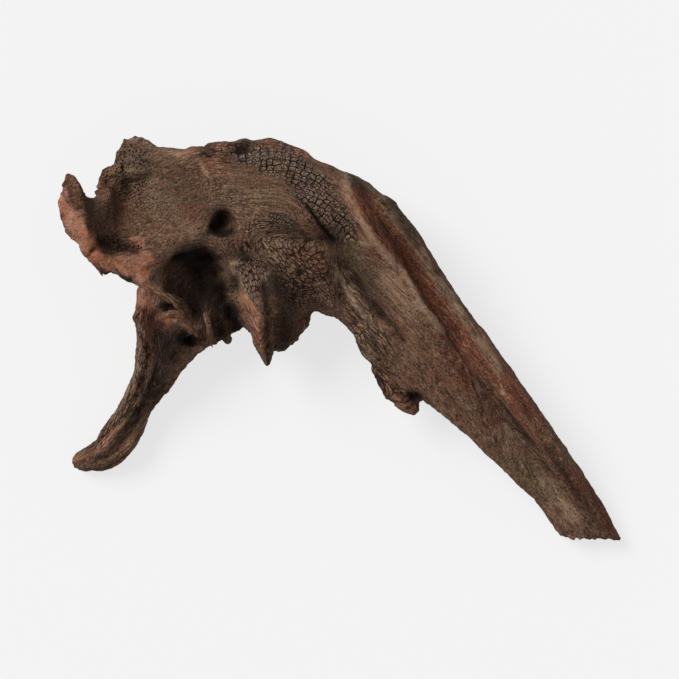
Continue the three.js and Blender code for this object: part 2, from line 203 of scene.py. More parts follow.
def beside(corners, places):
    """How far along a line of the picture, and how far to its left, each place lies in plan."""
    line = np.column_stack(spot(*smooth(corners).T))
    run = np.concatenate([[0], np.cumsum(np.linalg.norm(np.diff(line, axis=0), axis=1))])
    tangents = np.gradient(line, axis=0)
    tangents /= np.linalg.norm(tangents, axis=1)[:, None]
    tree = KDTree(len(line))
    for i, (x, y) in enumerate(line):
        tree.insert((x, y, 0), i)
    tree.balance()
    nearest = np.array([tree.find((x, y, 0))[1] for x, y in places[:, :2]])
    away = places[:, :2] - line[nearest]
    tangent = tangents[nearest]
    along = run[nearest] + (away * tangent).sum(1)
    side = away[:, 1] * tangent[:, 0] - away[:, 0] * tangent[:, 1]
    return np.stack([along, side], 1)


def soft(value, low, high):
    """A smooth step from 0 at low to 1 at high."""
    share = np.clip((value - low) / (high - low), 0, 1)
    return share * share * (3 - 2 * share)


def blended(first, second, share):
    """Two sets of grain places joined, the second moved so that both agree where they meet."""
    meeting = (share > 0.4) & (share < 0.6)
    second = second + (first[meeting] - second[meeting]).mean(0)
    return first + (second - first) * share[:, None]


# Lines through spots of the picture that the fibres follow, and the knots with their radius in millimetres.
trunk_line = [(604, 543), (560, 480), (500, 396), (448, 325), (400, 272), (360, 233), (322, 199),
              (288, 182), (245, 180), (195, 190), (140, 206), (85, 222)]
leg_line = [(190, 190), (186, 250), (178, 300), (165, 350), (140, 400), (115, 435), (70, 475)]
snag_line = [(246, 215), (247, 260), (254, 305), (268, 368)]
lobe_line = [(235, 205), (270, 248), (300, 292), (330, 340)]
knots = [(221, 226, 10), (242, 148, 8), (240, 254, 7), (402, 402, 7), (326, 240, 5)]

x, y, z = places.T
px, py = seen(places).T
trunk_place = beside(trunk_line, places)
leg_place = beside(leg_line, places)
snag_place = beside(snag_line, places)
lobe_place = beside(lobe_line, places)

# How far each place belongs to the leg, the snag or the crown's lower lobe instead of the trunk.
leg_share = soft(y, 62, 30) * soft(x, -70, -90)
snag_share = soft(np.abs(snag_place[:, 1]), 22, 14) * soft(y, 62, 46) * soft(z, 38, 50)
lobe_share = soft(py, 222, 246) * soft(px, 248, 262) * soft(px, 345, 322)
plan = blended(trunk_place, leg_place, leg_share)
plan = blended(plan, lobe_place, lobe_share)
plan = blended(plan, snag_place, snag_share)
for right, down, radius in knots:
    nearest = np.argmin(np.linalg.norm(places[:, :2] - spot(right, down), axis=1))
    centre = plan[nearest].copy()
    reach = np.linalg.norm(plan - centre, axis=1)
    squeeze = 1 - radius**2 / np.maximum(reach, radius) ** 2
    plan[:, 1] = centre[1] + (plan[:, 1] - centre[1]) * squeeze
grain = np.column_stack([plan, z])


# Marks of weather, rot and breaks, and painted shade
# Each mark is a set of soft strokes over the upper side, with a ragged edge. A stroke is a line through spots
# of the picture, a width in its pixels and a strength.

# Orange to pink wood where it broke.
FRESH = [
    ([(60, 196), (64, 212), (74, 228), (84, 246), (90, 256)], 8, 1.0),
    ([(70, 208), (84, 232), (93, 244)], 6, 0.9),
    ([(98, 262), (116, 264), (136, 266)], 9, 1.0),
    ([(136, 247), (146, 262), (140, 285)], 8, 0.9),
    ([(137, 300), (150, 303)], 6, 0.75),
    ([(142, 318), (150, 345)], 6, 0.35),
    ([(149, 286), (160, 294), (172, 303)], 2.5, 0.55),
    ([(159, 320), (179, 315), (189, 325), (198, 336)], 5, 0.75),
    ([(211, 326), (213, 342)], 4, 0.35),
    ([(242, 300), (252, 310), (256, 322)], 8, 0.8),
    ([(256, 326), (262, 346)], 4.5, 0.6),
    ([(102, 444), (112, 434), (119, 426)], 4, 0.55),
    ([(76, 462), (90, 456), (104, 448)], 7, 0.6),
    ([(386, 379), (393, 392), (401, 406)], 5, 0.65),
    ([(612, 524), (617, 536)], 4, 0.4),
    ([(178, 154), (190, 151), (198, 148)], 4, 0.5),
    ([(296, 151), (307, 155)], 5, 0.75),
    ([(340, 187), (352, 202), (361, 216)], 4, 0.4),
    ([(131, 238), (144, 243)], 5, 0.5),
]

# Red wood in the valley of the trunk, and reddish stains.
RED = [
    ([(364, 200), (375, 222), (400, 252), (421, 283), (441, 307), (462, 342)], 9, 0.95),
    ([(462, 342), (490, 372), (520, 398), (532, 408)], 10, 0.7),
    ([(366, 192), (385, 224), (404, 252)], 8, 0.6),
    ([(510, 400), (548, 455), (576, 490)], 8, 0.35),
    ([(448, 356), (470, 390), (490, 420)], 9, 0.3),
    ([(580, 475), (600, 502), (616, 530)], 6, 0.7),
    ([(352, 196), (370, 228), (396, 264), (430, 318), (470, 376)], 9, 0.45),
    ([(247, 302), (254, 318), (262, 344)], 6, 0.55),
    ([(376, 372), (392, 388), (404, 404)], 10, 0.55),
    ([(216, 150), (230, 152)], 7, 0.4),
    ([(300, 250), (312, 264)], 7, 0.4),
    ([(384, 184), (396, 200)], 5, 0.5),
    ([(600, 506), (616, 536)], 10, 0.4),
    ([(138, 296), (148, 312), (156, 330)], 9, 0.6),
    ([(206, 166), (224, 168)], 8, 0.5),
    ([(186, 212), (205, 216)], 9, 0.4),
    ([(344, 288), (356, 305), (376, 325)], 8, 0.45),
    ([(395, 335), (420, 352), (450, 385)], 14, 0.4),
    ([(262, 144), (288, 147)], 6, 0.5),
    ([(196, 146), (212, 146)], 6, 0.4),
    ([(146, 312), (150, 335), (148, 358)], 7, 0.7),
    ([(100, 172), (108, 185)], 9, 0.4),
    ([(68, 182), (76, 204)], 6, 0.5),
]

# Pale wood on rubbed ridges and rims.
PALE = [
    ([(342, 190), (350, 200), (366, 228), (387, 255), (405, 274)], 2.5, 0.35),
    ([(405, 274), (421, 306), (438, 328)], 3, 0.5),
    ([(505, 432), (530, 466), (556, 500)], 9, 0.35),
    ([(346, 280), (360, 304), (372, 326)], 6, 0.45),
    ([(388, 276), (400, 292), (412, 310)], 11, 0.5),
    ([(361, 243), (368, 245)], 3, 0.8),
    ([(376, 200), (390, 216), (404, 234)], 1.3, 0.6),
    ([(402, 232), (418, 252), (441, 288), (461, 316), (500, 378)], 1.8, 0.6),
    ([(440, 280), (456, 302), (470, 324)], 4, 0.3),
    ([(139, 330), (138, 362), (131, 386), (114, 415)], 3.5, 0.55),
    ([(130, 170), (150, 182), (160, 200)], 14, 0.3),
    ([(358, 334), (366, 350), (374, 362)], 5, 0.5),
    ([(540, 480), (570, 515)], 8, 0.4),
    ([(200, 162), (208, 176)], 1.6, 1.0),
    ([(132, 140), (150, 143), (176, 153)], 4, 0.35),
    ([(222, 268), (228, 286), (235, 302)], 5, 0.5),
    ([(232, 264), (242, 263), (250, 266)], 1.8, 0.9),
    ([(502, 391), (504, 393)], 1.5, 1.0),
    ([(343, 280), (352, 300)], 3, 0.5),
    ([(256, 236), (276, 250)], 8, 0.25),
    ([(206, 206), (232, 204)], 12, 0.2),
    ([(182, 226), (205, 236)], 12, 0.2),
    ([(238, 272), (246, 282), (250, 296)], 7, 0.4),
    ([(360, 300), (380, 330), (404, 352)], 14, 0.3),
    ([(120, 150), (130, 156), (138, 154)], 9, 0.3),
    ([(150, 283), (164, 292), (174, 300)], 2, 0.5),
]

# Dark rot in the hollow and the knots, deep cracks, dark stains, and painted shade in the hollow and on
# shaded sides.
DARK_AND_SHADE = [
    ([(176, 256), (196, 252), (208, 256)], 9, 1.0),
    ([(190, 262), (200, 272), (204, 288)], 13, 1.0),
    ([(210, 256), (215, 272), (217, 288), (226, 304)], 6, 1.0),
    ([(202, 292), (214, 306), (226, 314)], 11, 1.0),
    ([(228, 306), (234, 316), (236, 328)], 6, 1.0),
    ([(160, 262), (170, 278), (186, 294)], 14, 0.5),
    ([(196, 250), (206, 268), (211, 292)], 12, 1.0),
    ([(222, 296), (232, 312), (240, 326)], 5, 0.9),
    ([(190, 300), (204, 320), (222, 332)], 10, 0.9),
    ([(336, 238), (350, 260), (366, 284)], 12, 0.4),
    ([(366, 276), (380, 296), (392, 312)], 7, 0.3),
    ([(388, 202), (402, 220), (415, 244)], 6, 0.75),
    ([(590, 498), (612, 534)], 16, 0.38),
    ([(472, 374), (500, 406), (530, 446)], 5, 0.5),
    ([(548, 452), (572, 486), (596, 522)], 3.5, 0.5),
    ([(520, 430), (545, 462)], 8, 0.2),
    ([(184, 180), (200, 206), (208, 214)], 16, 0.32),
    ([(150, 176), (168, 196), (176, 214)], 16, 0.12),
    ([(98, 242), (112, 248), (134, 249)], 5, 0.6),
    ([(87.5, 257), (93, 249)], 1.3, 0.9),
    ([(302, 233), (310, 240), (320, 243)], 1.2, 0.8),
    ([(148, 268), (156, 284)], 6, 0.4),
    ([(150, 306), (152, 322), (150, 344)], 9, 0.3),
    ([(376, 378), (394, 396), (408, 406)], 10, 0.2),
    ([(84, 462), (104, 452)], 12, 0.15),
    ([(350, 176), (362, 184), (376, 198)], 6, 0.35),
    ([(60, 222), (62, 214)], 2, 0.8),
    ([(64, 184), (70, 190), (78, 206)], 5, 0.45),
    ([(62, 190), (66, 200), (74, 208)], 1.5, 0.6),
    ([(98, 268), (104, 273), (118, 274), (130, 280)], 3, 0.8),
    ([(308, 207), (320, 223), (334, 241)], 1.8, 1.0),
    ([(297, 196), (308, 207)], 1.2, 0.7),
    ([(343, 208), (352, 226), (358, 240)], 1.4, 0.6),
    ([(246, 140), (262, 144), (268, 152)], 1.2, 0.5),
    ([(150, 318), (156, 334), (164, 344)], 8, 0.6),
    ([(146, 344), (150, 356)], 6, 0.4),
    # Painted shade beside the snag and under the crown's lower lobe.
    ([(264, 286), (266, 310), (268, 346)], 4, 0.85),
    ([(282, 284), (288, 306), (284, 340)], 14, 0.72),
    ([(272, 290), (280, 272)], 7, 0.4),
    ([(178, 336), (190, 340)], 9, 1.0),
    ([(162, 306), (178, 307)], 4, 0.8),
    ([(221, 216), (216, 228)], 9, 1.0),
    ([(211, 231), (222, 234), (232, 231)], 4.5, 1.0),
    ([(233, 250), (244, 250), (247, 260)], 8, 0.62),
    ([(324, 237), (332, 243)], 5, 0.7),
    ([(234, 151), (246, 146)], 7, 0.85),
    ([(170, 345), (160, 368), (152, 392)], 13, 0.78),
    ([(160, 330), (170, 350)], 9, 0.5),
    ([(88, 206), (98, 222), (110, 236)], 9, 0.2),
    ([(100, 240), (120, 244), (136, 250)], 6, 0.5),
    ([(408, 396), (418, 398)], 6, 0.9),
    ([(375, 376), (379, 382)], 4, 0.9),
    ([(357, 280), (368, 296), (382, 316)], 5, 0.5),
    ([(512, 388), (540, 436), (575, 490)], 4, 0.45),
    ([(396, 222), (424, 258), (452, 302)], 2, 0.5),
    ([(118, 148), (134, 156), (142, 160)], 9, 0.35),
    ([(92, 458), (104, 452)], 4, 0.5),
    ([(264, 356), (267, 362)], 5, 0.5),
    ([(112, 445), (140, 420)], 5, 0.35),
]

# Olive stains.
OLIVE = [
    ([(342, 168), (368, 182), (394, 203)], 8, 0.9),
    ([(398, 208), (414, 236)], 5, 0.9),
    ([(346, 248), (360, 262), (374, 282)], 12, 0.7),
    ([(230, 186), (256, 192), (284, 200)], 14, 0.45),
    ([(140, 172), (160, 192), (176, 206)], 15, 0.5),
    ([(425, 345), (452, 380), (470, 410)], 8, 0.4),
    ([(500, 450), (540, 500)], 10, 0.4),
    ([(126, 432), (140, 405)], 8, 0.5),
    ([(225, 270), (232, 292)], 4, 0.5),
]

# Wood that dried into small blocks with black checks between them.
CHECKED = [
    ([(310, 190), (326, 206), (342, 230)], 17, 1.0),
    ([(264, 160), (290, 166), (312, 182)], 14, 1.0),
    ([(242, 157), (262, 158)], 8, 1.0),
    ([(276, 220), (292, 224)], 9, 0.8),
    ([(262, 282), (268, 300)], 5, 0.3),
    ([(283, 146), (300, 152)], 7, 0.7),
]

# Wood that dried into wrinkles.
WRINKLED = [
    ([(262, 240), (284, 262), (300, 286)], 22, 1.0),
    ([(300, 240), (318, 262), (336, 296)], 14, 0.6),
    ([(204, 148), (222, 150), (240, 152)], 9, 0.8),
    ([(206, 180), (228, 190), (240, 205)], 14, 0.45),
    ([(228, 248), (250, 262)], 12, 0.7),
    ([(246, 266), (254, 290)], 9, 0.9),
    ([(345, 282), (366, 302), (372, 330)], 13, 0.25),
    ([(352, 330), (372, 352), (384, 372)], 10, 0.35),
    ([(140, 330), (143, 372), (124, 412)], 9, 0.2),
    ([(98, 450), (84, 464)], 10, 0.4),
    ([(440, 360), (480, 410), (530, 470), (580, 525)], 14, 0.15),
]

# Long narrow splits along the grain.
SPLIT = [
    ([(140, 322), (143, 352), (134, 392), (112, 424), (92, 446)], 10, 0.75),
    ([(158, 338), (158, 372), (136, 412)], 9, 0.7),
    ([(76, 464), (92, 456), (108, 446)], 9, 0.5),
    ([(246, 306), (256, 324), (265, 354)], 6, 0.6),
    ([(336, 266), (350, 290), (366, 318), (380, 344)], 12, 0.9),
    ([(352, 330), (368, 352), (382, 374)], 10, 0.8),
    ([(376, 376), (390, 390), (408, 404)], 9, 0.9),
    ([(146, 296), (150, 318)], 7, 0.5),
    ([(100, 170), (108, 184)], 8, 0.6),
    ([(400, 350), (440, 390), (480, 430)], 12, 0.4),
    ([(410, 232), (450, 290), (500, 372)], 7, 0.5),
    ([(196, 148), (216, 150)], 6, 0.6),
]

# Wood that weathered grey.
GREY = [
    ([(238, 158), (252, 157), (264, 155)], 5, 0.9),
    ([(291, 158), (298, 168), (306, 180)], 5, 0.8),
    ([(308, 194), (322, 208)], 8, 0.35),
    ([(94, 206), (102, 216), (104, 230)], 7, 0.5),
    ([(262, 272), (272, 284)], 6, 0.5),
    ([(150, 270), (166, 290)], 8, 0.3),
    ([(236, 268), (248, 280), (252, 294)], 6, 0.5),
    ([(118, 146), (130, 156), (142, 160)], 9, 0.35),
    ([(156, 340), (162, 360), (150, 390)], 9, 0.4),
]

# Soft rotten wood, full of pits.
SPONGY = [
    ([(118, 172), (130, 190), (146, 202)], 13, 0.4),
    ([(138, 166), (156, 186), (168, 214)], 15, 0.28),
    ([(120, 148), (130, 156), (142, 160)], 8, 1.0),
    ([(99, 172), (106, 178), (114, 170)], 6, 0.9),
    ([(112, 172), (122, 176), (134, 184)], 8, 0.7),
    ([(110, 192), (126, 196)], 6, 0.3),
    ([(98, 240), (116, 243), (136, 246)], 6, 1.0),
    ([(230, 288), (236, 304)], 5, 0.6),
    ([(404, 398), (398, 392)], 5, 0.6),
]

# Rims with a torn edge.
TORN = [
    ([(97, 194), (97, 176), (102, 168), (110, 163), (115, 152), (124, 139), (140, 139)], 5, 1.0),
    ([(90, 258), (100, 272), (110, 272), (119, 273), (131, 280), (137, 292)], 5, 1.0),
    ([(59, 205), (62, 226), (72, 240), (86, 254)], 4, 0.6),
    ([(270, 348), (286, 348), (300, 334), (308, 320)], 5, 0.8),
    ([(564, 536), (590, 538), (616, 541)], 4, 0.9),
    ([(371, 372), (376, 388), (390, 404), (404, 414)], 4, 0.7),
    ([(200, 345), (220, 338), (240, 330)], 5, 0.8),
    ([(76, 460), (74, 468), (92, 468)], 4, 0.6),
]


def swells(places, size, seed):
    """Noise from about -1 to 1 at each place, its swells of a size in millimetres."""
    return np.array([noise.noise(place) for place in (places / size + seed).tolist()])


def stroke_distance(line, at):
    """Distance from each point of the picture to a line, in pixels."""
    best = np.full(len(at), np.inf)
    for start, end in zip(np.array(line[:-1], float), np.array(line[1:], float)):
        run = end - start
        share = np.clip((at - start) @ run / (run @ run), 0, 1)[:, None]
        best = np.minimum(best, np.linalg.norm(at - start - share * run, axis=1))
    return best


facing_up = soft(normals_of(skin)[:, 2], -0.35, 0.05)
at = seen(places)
ragged = np.zeros((count, 2))
ragged[:, 0] = 4 * swells(places, 8, 3.1) + 2.5 * swells(places, 3, 5.3)
ragged[:, 1] = 4 * swells(places, 8, 7.7) + 2.5 * swells(places, 3, 9.9)


def marked(strokes):
    """How strongly a set of strokes marks each point of the upper side, from 0 to 1."""
    clear = np.ones(count)
    for line, width, strength in strokes:
        away = stroke_distance(line, at + ragged * min(width / 8, 1))
        clear *= 1 - strength * np.exp(-((away / width) ** 2))
    return (1 - clear) * facing_up


fresh, red, pale, dark_and_shade = marked(FRESH), marked(RED), marked(PALE), marked(DARK_AND_SHADE)
olive, checked, spongy, torn = marked(OLIVE), marked(CHECKED), marked(SPONGY), marked(TORN)
wrinkled, grey, split = marked(WRINKLED), marked(GREY), marked(SPLIT)


# Relief
# Weather washed the soft wood out between the hard rings, so ridges and furrows follow the grain. The crown
# dried into wrinkles, the broken rims are torn, and the spongy lumps are full of pits. A furrow is a line
# through spots of the picture, a width in its pixels and a height in millimetres.

FURROWS = [
    ([(345, 178), (366, 228), (387, 255), (404, 273), (421, 307), (441, 330)], 5, 1.6),
    ([(441, 330), (480, 392), (520, 452)], 6, 0.5),
    ([(362, 190), (376, 220), (402, 252), (423, 283), (443, 308), (462, 338)], 9, -1.5),
    ([(380, 190), (397, 220), (420, 248), (443, 284), (462, 312), (500, 370)], 4, 1.5),
    ([(388, 188), (408, 218), (430, 250), (452, 284), (478, 324)], 3, -1.2),
    ([(346, 264), (362, 290), (382, 316), (402, 342)], 5, -2.4),
    ([(335, 266), (343, 281), (353, 303), (374, 323)], 4, 1.5),
    ([(345, 295), (350, 308), (355, 320)], 2, -1.2),
    ([(480, 376), (520, 432), (560, 492), (600, 536)], 3, -1.0),
    ([(500, 402), (540, 456), (586, 518)], 2.5, -0.9),
    ([(430, 350), (460, 392), (500, 440)], 3, -0.7),
    ([(307, 206), (320, 224), (334, 241)], 2, -3.0),
    ([(326, 206), (338, 220), (350, 236)], 1.6, -1.6),
    ([(300, 205), (312, 222), (322, 240)], 1.6, -1.2),
    ([(258, 176), (274, 172), (296, 178)], 1.8, -1.0),
    ([(210, 170), (240, 168), (262, 172)], 1.8, -0.8),
    ([(202, 160), (209, 176)], 2.5, 1.2),
    ([(138, 233), (150, 221)], 2.2, -1.6),
    ([(98, 251), (131, 255), (147, 246), (175, 244)], 2, -1.4),
    ([(87, 258), (95, 248)], 1.6, -3.0),
    ([(146, 328), (149, 360), (140, 392), (120, 424)], 2.4, -1.5),
    ([(156, 334), (157, 366), (148, 396), (130, 428)], 3, -1.7),
    ([(141, 334), (141, 362), (132, 390)], 2, -1.0),
    ([(100, 446), (116, 436), (128, 424)], 2, -1.2),
    ([(246, 312), (256, 334), (266, 354)], 1.6, -1.8),
    ([(252, 300), (262, 326)], 1.5, -1.2),
    ([(238, 268), (236, 290), (244, 312)], 2.2, -1.6),
    ([(149, 285), (160, 294), (172, 303)], 2, 1.5),
    ([(160, 291), (178, 303)], 2, 1.2),
    ([(392, 376), (403, 398)], 2, -2.2),
    ([(186, 338), (188, 340)], 8, -4.0),
    ([(169, 306), (173, 307)], 4, -2.5),
    ([(239, 254), (241, 255)], 7, -2.0),
    ([(240, 150), (246, 148)], 6, -2.5),
    ([(412, 398), (416, 399)], 5, -3.0),
    ([(325, 240), (327, 241)], 4, -1.8),
    ([(355, 336), (366, 352), (372, 364)], 3, -0.8),
    ([(352, 186), (368, 214), (384, 240), (402, 268)], 1.6, -0.9),
    ([(404, 208), (430, 246), (458, 290)], 1.4, -0.8),
]



def ridged(size, seed):
    """Sharp ridges along the grain, 0 at the crest and lower beside it, of a size in millimetres."""
    return -2 * np.abs(swells(grain, np.array(size), seed))


# The crown is smoother than the limbs.
crown = soft(x, 55, 15) * soft(y, 0, 30)
height = (0.9 - 0.4 * crown) * (0.5 + ridged((46, 6.5, 6.5), 1.3))
height += (0.7 - 0.5 * crown) * (0.5 + ridged((28, 3.1, 3.1), 4.3))
height += 0.3 * (0.4 + ridged((8, 3.2, 4), 8.3))
height += 0.5 * swells(places, 11, 6.1) + 0.3 * swells(places, 3, 2.9)
wander = at + 1.2 * np.column_stack([swells(places, 6, 11.1), swells(places, 6, 12.2)])
for line, width, rise in FURROWS:
    height += rise * np.exp(-((stroke_distance(line, wander) / width) ** 2)) * facing_up
pits = np.array([noise.voronoi(place)[0][0] for place in (places / 3).tolist()])
height += spongy * (0.4 - 1.8 * soft(pits, 0.45, 0.1))
height += torn * (2.2 * swells(places, 4.2, 13.3) + 1.6 * swells(places, 2.6, 14.4))
height *= (1 - 0.7 * fresh) * soft(z, 0.2, 6)

places = places + normals_of(skin) * height[:, None]
places[resting, 2] = 0
put(skin, places)



def carry(mesh, name, values):
    """Gives the mesh's vertices a named number or vector each, for the finish to read."""
    kind, key = ("FLOAT", "value") if values.ndim == 1 else ("FLOAT_VECTOR", "vector")
    mesh.attributes.new(name, kind, "POINT").data.foreach_set(key, values.astype(np.float32).ravel())


# How steeply the skin turns away from the top, for painted shade on steep sides.
steep_shade = soft(normals_of(skin)[:, 2], 0.6, 0.05)
carried = {"fresh": fresh, "red": red, "pale": pale, "dark_and_shade": dark_and_shade, "olive": olive, "grey": grey,
           "checked": checked, "wrinkled": wrinkled, "split": split, "spongy": spongy, "steep_shade": steep_shade,
           "relief": height, "grain": grain}
for name, values in carried.items():
    carry(skin, name, values)
skin.polygons.foreach_set("use_smooth", np.ones(len(skin.polygons), bool))

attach(wood, "root")
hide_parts("driftwood")


# Finish of the wood
# Bare weathered root wood, never painted: brown with dark streaks along the grain, black drying checks, a
# red valley, olive stains, and orange to pink wood where it broke. The colour also holds painted shade in the
# furrows, the hollows and on steep sides, and painted highlights on crests and ridges.


def tone(code):
    """A colour written as six hex digits, as Blender's linear red, green, blue and alpha."""
    parts = [int(code[i : i + 2], 16) / 255 for i in (0, 2, 4)]
    return (*[c / 12.92 if c <= 0.04045 else ((c + 0.055) / 1.055) ** 2.4 for c in parts], 1)


look = bpy.data.materials.new("weathered_wood")
look.use_nodes = True
tree = look.node_tree
shader = tree.nodes["Principled BSDF"]


def add(kind, inputs=(), **settings):
    """Adds a node with its settings, and joins or sets its inputs by name or number."""
    made = tree.nodes.new(kind)
    for name, value in settings.items():
        setattr(made, name, value)
    for key, value in dict(inputs).items():
        if isinstance(value, bpy.types.NodeSocket):
            tree.links.new(value, made.inputs[key])
        else:
            made.inputs[key].default_value = value
    return made


def attribute(name, output="Fac"):
    """The named values that the skin carries."""
    return add("ShaderNodeAttribute", attribute_name=name).outputs[output]


def maths(operation, first, second=0.0):
    """One operation on two values, such as ADD or MAXIMUM."""
    return add("ShaderNodeMath", {0: first, 1: second}, operation=operation).outputs[0]


def times(first, second):
    """Two values multiplied."""
    return maths("MULTIPLY", first, second)


def ramp(value, low, high, start=0.0, end=1.0):
    """A value from start to end as the input goes from low to high, held at both ends."""
    inputs = {"Value": value, "From Min": low, "From Max": high, "To Min": start, "To Max": end}
    return add("ShaderNodeMapRange", inputs, interpolation_type="SMOOTHSTEP").outputs["Result"]


def mix(first, second, share):
    """Two colours mixed."""
    return add("ShaderNodeMix", {0: share, 6: first, 7: second}, data_type="RGBA").outputs[2]


def stretched(vector, scale):
    """A vector divided by sizes in millimetres."""
    return add("ShaderNodeVectorMath", {0: vector, 1: scale}, operation="DIVIDE").outputs[0]


def noise_of(vector, detail=4.0, roughness=0.6):
    """Noise from about 0 to 1 with swells one unit long."""
    inputs = {"Vector": vector, "Scale": 1.0, "Detail": detail, "Roughness": roughness}
    return add("ShaderNodeTexNoise", inputs).outputs["Fac"]


def scaled(vector, factor):
    """A vector times a factor."""
    return add("ShaderNodeVectorMath", {0: vector, 3: factor}, operation="SCALE").outputs[0]


along = attribute("grain", "Vector")
body = scaled(add("ShaderNodeTexCoord").outputs["Object"], 1000.0)
streaks = noise_of(stretched(along, (24, 1.6, 1.6)), 5, 0.65)
fine_streaks = noise_of(stretched(along, (14, 0.75, 0.75)), 3, 0.6)
bands = noise_of(stretched(along, (110, 9, 9)), 3, 0.55)
mottle = noise_of(stretched(body, (9, 9, 9)), 6, 0.68)
specks = noise_of(stretched(body, (1.3, 1.3, 1.3)), 2, 0.6)

# The cells' walls wander by up to a millimetre, and are turned a little about the limb.
warp = add("ShaderNodeTexNoise", {"Vector": stretched(along, (5, 5, 5)), "Scale": 1.0, "Detail": 2.0})
warp = add("ShaderNodeVectorMath", {0: warp.outputs["Color"], 1: (0.5, 0.5, 0.5)}, operation="SUBTRACT")
warp = scaled(warp.outputs[0], 1.8)
bent = add("ShaderNodeVectorMath", {0: along, 1: warp}, operation="ADD").outputs[0]
bent = add("ShaderNodeMapping", {"Vector": bent, "Rotation": (-0.5, 0, 0)}).outputs["Vector"]


def cells(scale, randomness, dimensions):
    """Distance to the nearest wall between drying cells of a size in millimetres."""
    made = add("ShaderNodeTexVoronoi", feature="DISTANCE_TO_EDGE", voronoi_dimensions=dimensions)
    tree.links.new(stretched(bent, scale), made.inputs["Vector"])
    made.inputs["Scale"].default_value = 1.0
    made.inputs["Randomness"].default_value = randomness
    return made.outputs["Distance"]


patches = noise_of(stretched(body, (7, 7, 7)), 2)
check_width = ramp(patches, 0.35, 0.65, 0.03, 0.12)
checks = ramp(maths("DIVIDE", cells((4.4, 3.3, 1), 0.45, "2D"), check_width), 0.75, 1.25, 1.0, 0.0)
small_checks = ramp(cells((2.2, 1.8, 1), 0.7, "2D"), 0.04, 0.15, 1.0, 0.0)
small_checks = times(small_checks, ramp(patches, 0.6, 0.4, 0.25, 0.85))
checked_share = maths("ADD", attribute("checked"), times(maths("SUBTRACT", mottle, 0.5), 0.8))
checked_share = ramp(checked_share, 0.1, 0.75)
checks = times(maths("MAXIMUM", checks, small_checks), checked_share)

walls = cells((4.4, 1.9, 9), 0.8, "3D")
crease_lines = ramp(walls, 0.02, 0.13, 1.0, 0.0)
wrinkled_share = ramp(attribute("wrinkled"), 0.0, 0.8)
creases = times(crease_lines, ramp(wrinkled_share, 0.0, 1.0, 0.12, 0.95))
creases = times(creases, ramp(patches, 0.3, 0.55, 0.35, 1.0))
fresh_share = attribute("fresh")
creases = times(creases, maths("SUBTRACT", 1.0, fresh_share))

split_walls = cells((18, 1.6, 6), 0.9, "3D")
split_share = ramp(attribute("split"), 0.1, 0.8)
splits = times(split_share, ramp(patches, 0.3, 0.55, 0.5, 1.0))
splits = times(ramp(split_walls, 0.02, 0.15, 1.0, 0.0), splits)
creases = maths("MAXIMUM", creases, times(splits, 0.9))

scratches = noise_of(stretched(along, (9, 0.8, 0.8)), 1)
scratches = times(ramp(scratches, 0.55, 0.66), ramp(mottle, 0.42, 0.6))
holes = add("ShaderNodeTexVoronoi", {"Vector": stretched(body, (1.9, 1.9, 1.9)), "Scale": 1.0})
holes = times(ramp(holes.outputs["Distance"], 0.42, 0.2), ramp(attribute("spongy"), 0.1, 0.6))
pores = add("ShaderNodeTexVoronoi", {"Vector": stretched(body, (2.6, 1.7, 1.7)), "Scale": 1.0})
pores = times(ramp(pores.outputs["Distance"], 0.3, 0.12), ramp(mottle, 0.42, 0.62, 0.0, 0.7))

colour = mix(tone("4a342a"), tone("8f6b53"), ramp(streaks, 0.34, 0.66))
colour = mix(colour, tone("6b4336"), ramp(bands, 0.42, 0.7, 0.0, 0.75))
colour = mix(colour, tone("66523b"), times(ramp(mottle, 0.48, 0.7), 0.5))
colour = mix(colour, tone("685c42"), times(attribute("olive"), 0.75))
colour = mix(colour, tone("6b5f5b"), times(attribute("grey"), 0.75))
red_share = times(attribute("red"), ramp(streaks, 0.25, 0.6, 0.65, 1.0))
colour = mix(colour, mix(tone("6e3424"), tone("88503a"), ramp(streaks, 0.35, 0.65)), red_share)
colour = mix(colour, tone("b3967a"), times(attribute("pale"), ramp(streaks, 0.3, 0.65, 0.4, 1.0)))
colour = mix(colour, tone("b39a86"), times(checked_share, ramp(specks, 0.35, 0.6, 0.05, 0.42)))
# Painted highlight on the raised strips between the wrinkles and the splits.
ridge_highlight = times(wrinkled_share, ramp(walls, 0.12, 0.3))
ridge_highlight = maths("MAXIMUM", ridge_highlight, times(split_share, ramp(split_walls, 0.15, 0.35)))
colour = mix(colour, tone("b0947c"), times(ridge_highlight, 0.24))

splinters = noise_of(stretched(along, (16, 2.2, 2.2)), 5, 0.68)
broken = mix(tone("9a6450"), tone("c0917a"), ramp(splinters, 0.3, 0.7))
broken = mix(broken, tone("a4603f"), ramp(bands, 0.4, 0.65, 0.0, 0.75))
ragged_fresh = maths("ADD", fresh_share, times(maths("SUBTRACT", splinters, 0.5), 0.7))
colour = mix(colour, broken, times(ramp(ragged_fresh, 0.2, 0.75), 0.92))

rough_share = maths("SUBTRACT", 1.0, times(fresh_share, 0.45))
colour = mix(colour, tone("281b15"), times(times(ramp(fine_streaks, 0.5, 0.36), 0.6), rough_share))
colour = mix(colour, tone("b59b82"), times(times(ramp(specks, 0.55, 0.72), 0.45), rough_share))
colour = mix(colour, tone("1e1410"), times(times(ramp(specks, 0.45, 0.3), 0.5), rough_share))
colour = mix(colour, tone("c2a88e"), times(scratches, 0.35))
colour = mix(colour, tone("1a110d"), times(pores, rough_share))
colour = mix(colour, tone("170f0c"), creases)
colour = mix(colour, tone("090605"), times(checks, 0.97))
colour = mix(colour, tone("0b0706"), times(holes, 0.95))
# Painted shade in the furrows and pits, darker the deeper they sink.
colour = mix(colour, tone("21160f"), ramp(attribute("relief"), -0.6, -2.6, 0.0, 0.65))
